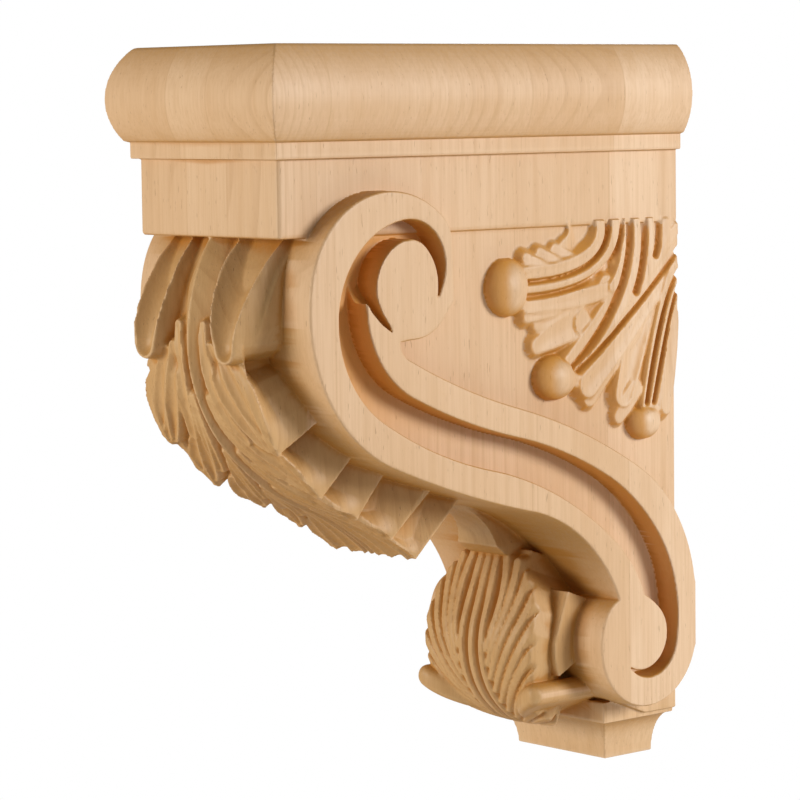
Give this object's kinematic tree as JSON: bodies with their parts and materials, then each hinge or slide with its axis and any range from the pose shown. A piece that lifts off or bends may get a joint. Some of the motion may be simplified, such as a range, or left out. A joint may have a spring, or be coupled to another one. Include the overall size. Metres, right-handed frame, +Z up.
{
  "type": "carved corbel bracket",
  "caption": "Carved wooden corbel bracket: moulded crown and block on a pair of S scrolls, with acanthus leaf down the front, at the foot and on the sides.",
  "frame": {"origin": "centre of the flat back face that goes against the wall", "axes": "+X to the side, +Y into the wall, +Z up"},
  "size_m": [0.118, 0.2505, 0.33],
  "materials": {
    "wood": "bare sanded hardwood, satin"
  },
  "bodies": {
    "root": {"corbel": "wood"}
  },
  "joints": []
}
